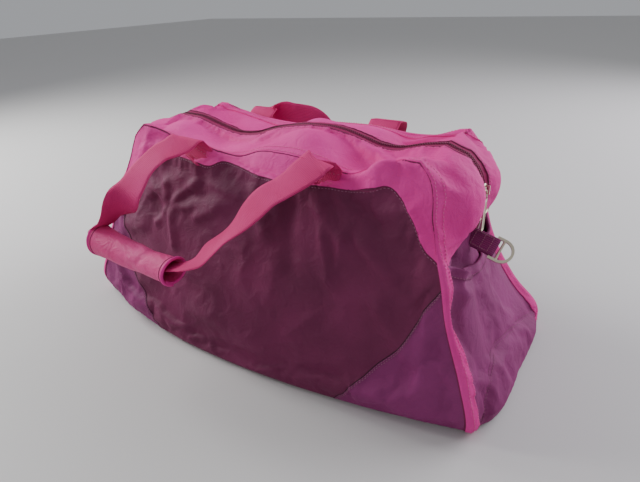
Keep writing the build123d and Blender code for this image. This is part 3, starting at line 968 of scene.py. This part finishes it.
waist_h = waist_z / top_z
yoke_line = [(x, float(yoke_seam(x))) for x in np.linspace(-.2075, .2075, 150)]
corner_line = [(x, float(corner_seam(x))) for x in np.linspace(.1165, .2125, 60)]
for side in (-1, 1):
    outer = []
    for p in gusset_line(0.0, side):
        turn = binding_turn(p.z)
        if abs(p.x) > .17 and turn > 1e-5:
            h = min(p.z / float(top_seam(side)(p.x)), 1)
            share = 1 - 2 * turn / 0.46
            p = Vector([float(c) for c in wall_point(side, math.copysign(share, p.x), h)])
        outer.append(p)
    # a dark tube of painted shade along the outer seam
    for run in in_view(outer, side):
        seam_groove(pink_seam_shading, run, radius=1.0 * MM, body="bag")
    for distance in (2.0 * MM, 7.6 * MM):
        line = [p for p in gusset_line(distance, side) if p.z > 0.003]
        for run in in_view(line, side):
            stitch_row(pale_thread, run, on_top=1.3 * MM, hem=True)
    # the fabric's folded edges beside the zipper, with painted shade along each edge as a dark tube
    edge_line = gusset_line(-tape_half - 0.3 * MM, side, waist_h)
    seam_groove(pink_seam_shading, edge_line, radius=0.9 * MM, lift=0.0)
    coil_line = gusset_line(-3.1 * MM, side, waist_h)
    seam_groove(coil_shade, coil_line, radius=0.6 * MM, lift=-0.3 * MM)
    stitch_row(pale_thread, gusset_line(-tape_half - 2.3 * MM, side, waist_h))
    # yoke and corner seams, each a dark tube of painted seam shade with its stitches below
    seam_groove(pink_seam_shading, [wall_at(side, x, z) for x, z in yoke_line], body="bag")
    below = [wall_at(side, x, z - 1.8 * MM) for x, z in yoke_line]
    stitch_row(plum_thread, below, pitch=3.4 * MM, body="bag")
    for end in (-1, 1):
        seam = [wall_at(side, end * x, z) for x, z in corner_line]
        seam_groove(plum_seam_shading, seam, radius=0.45 * MM, body="bag")
        for gap in (1.8 * MM, 4.0 * MM):
            below = [wall_at(side, end * x, max(z - gap, 1 * MM)) for x, z in corner_line]
            stitch_row(plum_thread, below, body="bag")

# the zipper's teeth, alternating from its two halves
teeth = Bundle("zipper_teeth", coil_material, "zipper_coil")
row = spaced(gusset_line(-1e-6, -1, (waist_z + 1 * MM) / top_z), 1.25 * MM)
for n, (p, q) in enumerate(zip(row, row[1:])):
    place, normal = on_skin(p, 0.25 * MM)
    along = (on_skin(q)[0] - on_skin(p)[0]).normalized()
    side = -1 if n % 2 else 1
    across = along.cross(normal).normalized()
    if across.y * side < 0:
        across = -across
    tooth = grain(
        place + across * 1.0 * MM, across + along * 0.25, normal, 3.3 * MM, 1.15 * MM, 1.3 * MM,
    )
    teeth.add(body_at(p.x, side * 1e-4, p.z), *tooth)
for bundle in (pale_thread, plum_thread, pink_seam_shading, coil_shade, plum_seam_shading, teeth):
    bundle.make()


# ------------------------------------------------------------------ webbing
def ribbon(
    name, line, material, slot_name, body, stands_for, thickness=1.7 * MM, smooth=True,
    mirror_x=False,
):
    """Webbing through stations, each a place, a width direction and a width. Its UVs are metres
    across and along."""
    places = np.array([s[0] for s in line], float)
    widths = np.array([s[2] for s in line], float)
    chord = np.concatenate([[0], np.cumsum(np.linalg.norm(np.diff(places, axis=0), axis=1))])
    acrosses = np.array([Vector(s[1]).normalized() for s in line])
    if smooth:
        at = np.linspace(0, chord[-1], max(int(chord[-1] / 0.0022), 8))
        smooth_of = [through(*zip(chord, column)) for column in (*places.T, *acrosses.T, widths)]
        table = np.array([f(at) for f in smooth_of]).T
    else:
        at = chord
        table = np.hstack([places, acrosses, widths[:, None]])
    around = []
    n_across = 10
    for k in range(n_across + 1):
        u = -1 + 2 * k / n_across
        around.append((u, 0.5 * (1 - 0.55 * abs(u) ** 8)))
    around += [(u, -h) for u, h in reversed(around)]
    verts, uvs = [], []
    count = len(table)
    for n, r in enumerate(table):
        p, across, width = Vector(r[:3]), Vector(r[3:6]), r[6]
        nxt, prv = Vector(table[min(n + 1, count - 1)][:3]), Vector(table[max(n - 1, 0)][:3])
        along = (nxt - prv).normalized()
        across = (across - along * across.dot(along)).normalized()
        up = across.cross(along)
        for u, h in around:
            verts.append(p + across * u * width / 2 + up * (h * thickness))
            uvs.append((u * width / 2, at[n]))
    m = len(around)
    faces = []
    for n in range(count - 1):
        for a in range(m):
            b = (a + 1) % m
            faces.append((n * m + a, n * m + b, n * m + m + b, n * m + m + a))
    faces += [tuple(range(m - 1, -1, -1)), tuple((count - 1) * m + a for a in range(m))]
    if mirror_x:
        verts = [Vector((-v.x, v.y, v.z)) for v in verts]
        faces = [f[::-1] for f in faces]
    obj = new_object(name, verts, faces, material)
    layer = obj.data.uv_layers.new(name="along")
    for loop in obj.data.loops:
        layer.data[loop.index].uv = uvs[loop.vertex_index]
    place_piece(obj, slot_name, body, stands_for)


wide = 38 * MM
strap_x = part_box("handle_anchors_front")[1].x - wide / 2


def stations(*rows):
    """Stations from rows in millimetres: a place, a width direction and, where the webbing isn't
    at its full width, the width."""
    return [
        ([c * MM for c in row[:3]], row[3:6], row[6] * MM if row[6:] else wide) for row in rows
    ]


front_path = stations(
    (80.6, -76.8, 227.6, 1, 0, 0), (80.5, -77.9, 227.7, 1, -0.05, 0),
    (78, -80, 226.2, 1, -0.15, -0.05), (74, -85, 222.2, 0.92, -0.32, -0.18),
    (69.9, -90.4, 218.7, 0.86, -0.43, -0.22), (63.8, -96.9, 213, 0.85, -0.5, -0.15),
    (55.7, -104.5, 206.8, 0.87, -0.48, -0.08), (44.5, -114.3, 199.3, 0.9, -0.42, -0.05),
    (35.9, -123.7, 189.1, 0.92, -0.39, 0.03), (27.3, -133.4, 177.5, 0.88, -0.43, 0.2),
    (16.8, -143, 166, 0.78, -0.51, 0.28, 37), (6.8, -151.3, 155.7, 0.76, -0.6, 0.15, 36),
    (-5, -157.5, 145, 0.7, -0.68, 0, 33), (-16, -162, 137, 0.35, -0.9, 0, 27),
    (-30, -164, 131, 0, -1, 0, 22.5), (-60, -165, 125, 0, -1, 0, 21),
    (-130, -165, 128.5, 0, -1, 0, 21), (-150, -165, 130.5, 0, -1, 0, 21),
    (-157.5, -165, 134.5, 0, -1, 0, 21), (-156, -164.5, 141.5, 0, -1, 0.1, 21.5),
    (-148, -163, 147, 0, -1, 0.2, 22), (-140, -161.2, 152, 0, -1, 0.2, 22.5),
    (-133, -159, 160, -0.1, -1, 0.2, 24), (-126.3, -155, 168.4, -0.5, -0.85, 0.1, 30),
    (-119, -149.5, 177.5, -0.85, -0.5, 0, 35), (-114, -143.5, 186.5, -0.99, -0.13, -0.05),
    (-110.1, -136.8, 195.7, -1, 0, -0.03), (-106.6, -129.2, 205.1, -0.99, 0.13, 0),
    (-101.9, -119, 213.8, -0.98, 0.19, 0.02), (-96.4, -108.2, 220.7, -0.97, 0.2, 0.1),
    (-88.9, -96.7, 224.7, -0.98, 0.1, 0.2), (-85.5, -87, 227.5, -0.97, -0.05, 0.2),
    (-84, -79, 228.6, -1, 0, 0), (-83.8, -77, 228.6, -1, 0, 0),
)
back_path = stations(
    (-105, 77, 228.8, 1, 0, 0), (-104.9, 79, 228.6, 1, 0, 0), (-100, 86, 226, 1, 0.05, 0.15),
    (-92, 92.5, 219.5, 0.8, 0.25, 0.5), (-80, 98.5, 214, 0.5, 0.35, 0.75),
    (-68, 103.5, 212, 0.25, 0.4, 0.85), (-57, 108.5, 209.5, 0.15, 0.4, 0.9),
    (-48, 114.5, 202, 0.45, 0.15, 0.85), (-43, 121, 192, 0.6, -0.1, 0.6),
    (-33, 129, 183, 0.4, -0.45, 0.75), (-20, 134.5, 179, 0.1, -0.6, 0.8),
    (-5, 137.5, 176.5, -0.1, -0.65, 0.75), (15, 140, 176, -0.5, -0.5, 0.7),
    (35, 136, 184, -0.8, -0.3, 0.5), (51, 126, 199, -0.9, -0.2, 0.3), (61, 112, 214, -1, -0.1, 0.1),
    (68, 96, 224.5, -1, 0, 0), (70, 85, 227.5, -1, 0, 0), (70, 77, 228.8, -1, 0, 0),
)
for wall, path in (("front", front_path), ("back", back_path)):
    ribbon(
        wall + "_strap", path, webbing, "pink_webbing", wall + "_handle", wall + "_handle_webbing",
    )

# the sewn ends under the creases, with a box of stitches
sewn_thread = Bundle("handle_stitches", thread_webbing, "pink_webbing")
for side, x, lean in ((-1, -.0838, .45), (-1, strap_x, .18), (1, -.105, 0), (1, .070, 0)):
    wall, end = "front" if side < 0 else "back", "left" if x < 0 else "right"
    low = float(yoke_seam(x - lean * .02)) + 1.5 * MM
    high = min(.2225, float(front_seam_z(x)) - 2.5 * MM)
    line = []
    for z in np.linspace(low, high, 5):
        place, _ = on_skin(wall_at(side, x + lean * (float(z) - .2245), float(z)), 1.2 * MM)
        line.append((tuple(place), (1, 0, -lean * 0.6), wide))
    line.append(((x, side * .0770, .2284), (1, 0, 0), wide))
    for across in np.linspace(-.42, .42, 9):
        for z in (low + 3 * MM, .2185):
            at = x + lean * (z - .2245) + across * wide
            at = wall_at(side, at, float(z - lean * 0.6 * across * wide))
            place, normal = on_skin(at, 2.6 * MM)
            stitch = grain(place, Vector((1, 0, 0)), normal, 2.4 * MM, .8 * MM, .6 * MM)
            sewn_thread.add("bag", *stitch)
    ribbon(
        f"handle_anchor_{wall}_{end}", line, webbing, "pink_webbing", "bag",
        "handle_anchors_" + wall, thickness=1.5 * MM,
    )
sewn_thread.make()


# ------------------------------------------------------------------ grip wrap
def slab(point, n_i, n_j):
    """Sheet with thickness, from point(layer, i, j) on its outer (0) and its inner (1) layer."""
    verts = [
        point(layer, i, j) for layer in (0, 1) for i in range(n_i + 1) for j in range(n_j + 1)
    ]

    def at(layer, i, j):
        return (layer * (n_i + 1) + i) * (n_j + 1) + j

    faces = []
    for i in range(n_i):
        for j in range(n_j):
            corners = (i, j), (i + 1, j), (i + 1, j + 1), (i, j + 1)
            faces += [tuple(at(0, *c) for c in corners), tuple(at(1, *c) for c in corners[::-1])]
    rim = [(i, 0) for i in range(n_i)] + [(n_i, j) for j in range(n_j)]
    rim += [(i, n_j) for i in range(n_i, 0, -1)] + [(0, j) for j in range(n_j, 0, -1)]
    faces += [(at(0, *b), at(0, *a), at(1, *a), at(1, *b)) for a, b in zip(rim, rim[1:] + rim[:1])]
    return verts, faces


def box_middle(node_name):
    a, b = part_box(node_name)
    return (a + b) / 2


grip_a, grip_b = box_middle("grip_piping_left"), box_middle("grip_piping_right")
grip_axis = (grip_b - grip_a).normalized()
grip_a, grip_b = grip_a - grip_axis * 2.5 * MM, grip_b + grip_axis * 2.5 * MM
grip_across = Vector((0, -1, 0))
grip_up = grip_across.cross(grip_axis).normalized()
if grip_up.z < 0:
    grip_up = -grip_up
grip_radius = through((0, .0168), (.2, .0160), (.5, .0148), (.8, .0153), (.94, .0160), (1, .0170))
grip_squash = through((0, 1.10), (.25, 1.0), (.5, .92), (.75, .92), (1, .86))


def grip_point(s, turn, inward=0.0):
    """Place on the wrap: s along it, turn round it from the overlap, one whole turn and a bit."""
    angle = math.radians(-75) + turn * 2 * math.pi
    out, rise = math.cos(angle), math.sin(angle)
    r = float(grip_radius(s)) - inward - 2.3 * MM * turn
    ease = math.sin(math.pi * min(max(s, 0), 1))
    r += 1.0 * MM * ease * math.sin(9 * s + 3 * angle) * math.sin(4.2 * s + angle)
    r += 0.8 * MM * ease * noise.noise(Vector((s * 9, out * 1.4, rise * 1.4)))
    r -= 1.8 * MM * bump(s, .62 + .10 * rise, .05) * max(math.cos(angle - 1.2), 0)
    sag = -2.6 * MM * math.sin(math.pi * s) + 1.5 * MM * (1 - s)
    centre = grip_a.lerp(grip_b, s) + grip_up * sag
    return centre + grip_across * out * r + grip_up * rise * r * float(grip_squash(s))


turns, n_long, n_round = 1.13, 64, 72
grip_sheet = slab(
    lambda layer, i, j: grip_point(i / n_long, turns * j / n_round, 1.7 * MM * layer),
    n_long, n_round,
)
grip = new_object("grip_cover", *grip_sheet, grip_cloth)
place_piece(
    grip, "pink_fabric", "front_handle", "grip_wrap", "grip_piping_left", "grip_piping_right",
)

grip_trim = Bundle("grip_piping", pink, "pink_fabric")
# painted seam shade: a dark ring inside the piping at each end of the grip
grip_seam_shading = Bundle("grip_painted_seam_shade", seam_shade_pink, "pink_fabric")
for s, s_in, piping in ((0.008, 0.046, 1.5 * MM), (0.992, 0.954, 1.7 * MM)):
    centre = grip_a.lerp(grip_b, s)
    for bundle, at, inward, radius, flat in (
        (grip_trim, s, 0.5 * MM, piping, 1.0), (grip_seam_shading, s_in, 0.0, 0.5 * MM, 0.8),
    ):
        ring = [grip_point(at, turns * j / 60, inward) for j in range(61)]
        normals = [(p - centre).normalized() for p in ring]
        bundle.add("front_handle", *rope(ring, normals, radius, flat))
grip_trim.make()
grip_seam_shading.make()


# ------------------------------------------------------------------ D-ring tabs
joints = {j["name"]: j for j in frame["record"]["behaviour"]["joints"]}
tab_tip = Vector(joints["right_ring_tilt"]["pos_m"])
tab_bar = Vector(joints["right_ring_tilt"]["axis"]).normalized()
tab_out = Vector((tab_bar.z, 0, -tab_bar.x)).normalized()
tab_face = tab_out.cross(tab_bar).normalized()
if tab_face.z < 0:
    tab_face = -tab_face
tab_length = 27 * MM


def tab_place(share, proud):
    """Place on a tab's middle line: a share of its length back from the ring's bar."""
    return tab_tip - tab_out * tab_length * share + tab_face * proud


# the webbing comes out on top, turns round the bar and goes back below
tab_line = [tab_place(share, 2.1 * MM - 0.75 * MM * share**2) for share in np.linspace(1, 0, 9)]
tab_line += [
    tab_tip + (tab_face * math.cos(a) + tab_out * math.sin(a)) * 2.1 * MM
    for a in np.linspace(0.15, math.pi - 0.15, 7)
]
tab_line += [
    tab_place(share, 1.1 * MM * min(share * 4, 1) - 2.1 * MM) for share in np.linspace(0, 1, 6)
]
tab_line = [(place, tab_bar, 18.5 * MM) for place in tab_line]
tab_stitches = [(0.16 + k * 0.085, side * 0.78, tab_out) for k in range(8) for side in (-1, 1)]
tab_stitches += [
    (share, -0.65 + k * 0.26, tab_bar) for k in range(6) for share in (0.14, 0.44, 0.78)
]
for end, flip in (("right", 1), ("left", -1)):
    ribbon(
        "ring_tab_" + end, tab_line, plum_web, "plum_webbing", "bag", "dring_tab_" + end,
        thickness=1.3 * MM, smooth=False, mirror_x=flip < 0,
    )
    thread = Bundle("ring_tab_stitches_" + end, thread_plum, "plum_webbing")
    for share, across, direction in tab_stitches:
        place = tab_place(share, 2.9 * MM) + tab_bar * across * 9.2 * MM
        verts, faces = grain(place, direction, tab_face, 2.0 * MM, 0.8 * MM, 0.6 * MM)
        verts = [Vector((v.x * flip, v.y, v.z)) for v in verts]
        thread.add("bag", verts, faces if flip > 0 else [f[::-1] for f in faces])
    thread.make()


# ------------------------------------------------------------------ slip pockets
pocket_rim = through(
    (-1, .158), (-.75, .147), (-.35, .131), (0, .124), (.35, .131), (.75, .147), (1, .158),
)
end_arc = through(
    (-.105, .004), (-.090, .012), (-.0797, .0273), (-.0685, .0386), (-.0542, .0485),
    (-.0400, .0517), (-.0223, .0505), (.0072, .0455), (.0474, .0349), (.0770, .0262),
    (.0900, .0200), (.105, .012),
)


def pocket_point(side, v, t, proud=0.0):
    """Place on a slip pocket: v across it, t from its foot to its rim."""
    rim = float(pocket_rim(v))
    z = 0.0025 + t * (rim - 0.0025)
    h = z / top_z
    edge = float(binding_y(z)) - 5 * MM
    y = v * edge
    p, _ = on_skin(band_point("right" if side > 0 else "left", h, y / float(binding_y(z))))
    lobe = math.exp(-(((v + .60) / .30) ** 2)) + 0.45 * math.exp(-(((v - .50) / .25) ** 2))
    fade = smooth_step((0.93 - abs(v)) / 0.16)
    gap = 0.3 * MM + fade * (1.9 * MM + 1.0 * MM * t + lobe * 16 * MM * t**2.2)
    # a curved seam low on the end, with the cloth below it standing proud
    above = z - float(end_arc(y))
    gap += fade * 3.4 * MM * smooth_step(-above / 0.010) * smooth_step(z / 0.016 + 0.15)
    gap -= fade * 1.6 * MM * math.exp(-((above / 0.003) ** 2))
    gap += fade * 1.0 * MM * math.sin(v * 9 + t * 2) * math.sin(math.pi * t)
    return p + Vector((side * (gap + proud), 0, 0))


def pocket_sheet(name, stands_for, side, low, high, proud, thick):
    """Part of a pocket's sheet, between two shares of the way from its foot to its rim."""
    n_v, n_t = 72, 44 if high - low > 0.5 else 5
    verts, faces = slab(
        lambda layer, i, j: pocket_point(
            side, -1 + 2 * i / n_v, low + (high - low) * j / n_t, proud - thick * layer,
        ),
        n_v, n_t,
    )
    if side < 0:
        faces = [f[::-1] for f in faces]
    place_piece(
        new_object(name, verts, faces, plum_side), "plum_side_fabric", "bag", stands_for,
    )


def pocket_row(side, line, pitch, width):
    """Row of stitches on a pocket."""
    line = spaced(line, pitch)
    for a, b in zip(line, line[1:]):
        stitch = grain((a + b) / 2, b - a, Vector((side, 0, 0)), 2.1 * MM, width, 0.5 * MM)
        pocket_thread.add("bag", *stitch)


pocket_thread = Bundle("pocket_stitches", thread_plum, "plum_side_fabric")
for side, end in ((1, "right"), (-1, "left")):
    pocket_sheet("pocket_" + end, "end_pocket_" + end, side, 0, 1, 0, 1.2 * MM)
    pocket_sheet(
        "pocket_rim_" + end, "pocket_hem_" + end, side, 0.938, 1.004, 0.7 * MM, 2.6 * MM,
    )
    rim = [pocket_point(side, v, 0.947, 1.0 * MM) for v in np.linspace(-.98, .98, 60)]
    pocket_row(side, rim, 3.1 * MM, 0.7 * MM)
    for shift in (-1.8 * MM, 1.8 * MM):
        line = []
        for v in np.linspace(-.97, .97, 60):
            z = max(float(end_arc(v * (float(binding_y(.04)) - 5 * MM))) + shift, .003)
            t = (z - .0025) / (float(pocket_rim(v)) - .0025)
            line.append(pocket_point(side, v, t, 0.4 * MM))
        pocket_row(side, line, 3.2 * MM, 0.6 * MM)
pocket_thread.make()


# ------------------------------------------------------------------ pieces kept from the CAD model
for name in (
    "slider_upper", "slider_lower", "pull_upper", "pull_lower", "dring_left", "dring_right",
):
    mesh = frame["nodes"][name].data
    mesh.materials.clear()
    mesh.materials.append(champagne)
    mesh.polygons.foreach_set("use_smooth", [True] * len(mesh.polygons))
board = frame["nodes"]["base_board"].data
board.materials.clear()
board.materials.append(board_material)


# ------------------------------------------------------------------ stage, light and camera
floor_material, _, floor_bsdf = new_material("floor")
feed(floor_bsdf, {"Base Color": (0.62, 0.61, 0.60, 1), "Roughness": 0.7})
floor_corners = [(-6, -6, 0), (6, -6, 0), (6, 6, 0), (-6, 6, 0)]
floor = new_object("floor", floor_corners, [(0, 1, 2, 3)], floor_material)
floor.location.z = -0.5 * MM
floor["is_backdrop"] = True

world = bpy.data.worlds.new("world")
bpy.context.scene.world = world
world.use_nodes = True
feed(world.node_tree.nodes["Background"], {"Color": (0.93, 0.95, 1.0, 1), "Strength": 0.4})


def area_light(name, place, target, size, power, colour=(1, 1, 1)):
    data = bpy.data.lights.new(name, "AREA")
    data.shape = "RECTANGLE"
    data.size, data.size_y = size
    data.energy = power
    data.color = colour
    obj = link(name, data)
    obj.location = place
    obj.rotation_euler = (Vector(target) - Vector(place)).to_track_quat("-Z", "Y").to_euler()
    obj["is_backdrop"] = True


area_light("window", (-1.45, -0.25, 0.95), (-0.05, 0, 0.12), (0.9, 0.8), 30)
area_light("room", (1.05, 1.25, 0.95), (0.1, 0, 0.12), (1.4, 1.0), 30, (0.94, 0.92, 1.0))
area_light("fill", (0.3, -1.6, 1.1), (0, 0, 0.1), (1.8, 1.2), 4)

camera_data = bpy.data.cameras.new("camera")
camera_data.lens = 27.5
camera_data.sensor_width = 36
camera = link("camera", camera_data)
right, up, back = (.8388, .5432, -.0374), (-.2211, .4026, .8883), (.4976, -.7368, .4577)
turned = Matrix((right, up, back)).transposed().to_4x4()
camera.matrix_world = Matrix.Translation((0.3151, -0.4295, 0.3649)) @ turned
bpy.context.scene.camera = camera

low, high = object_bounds()
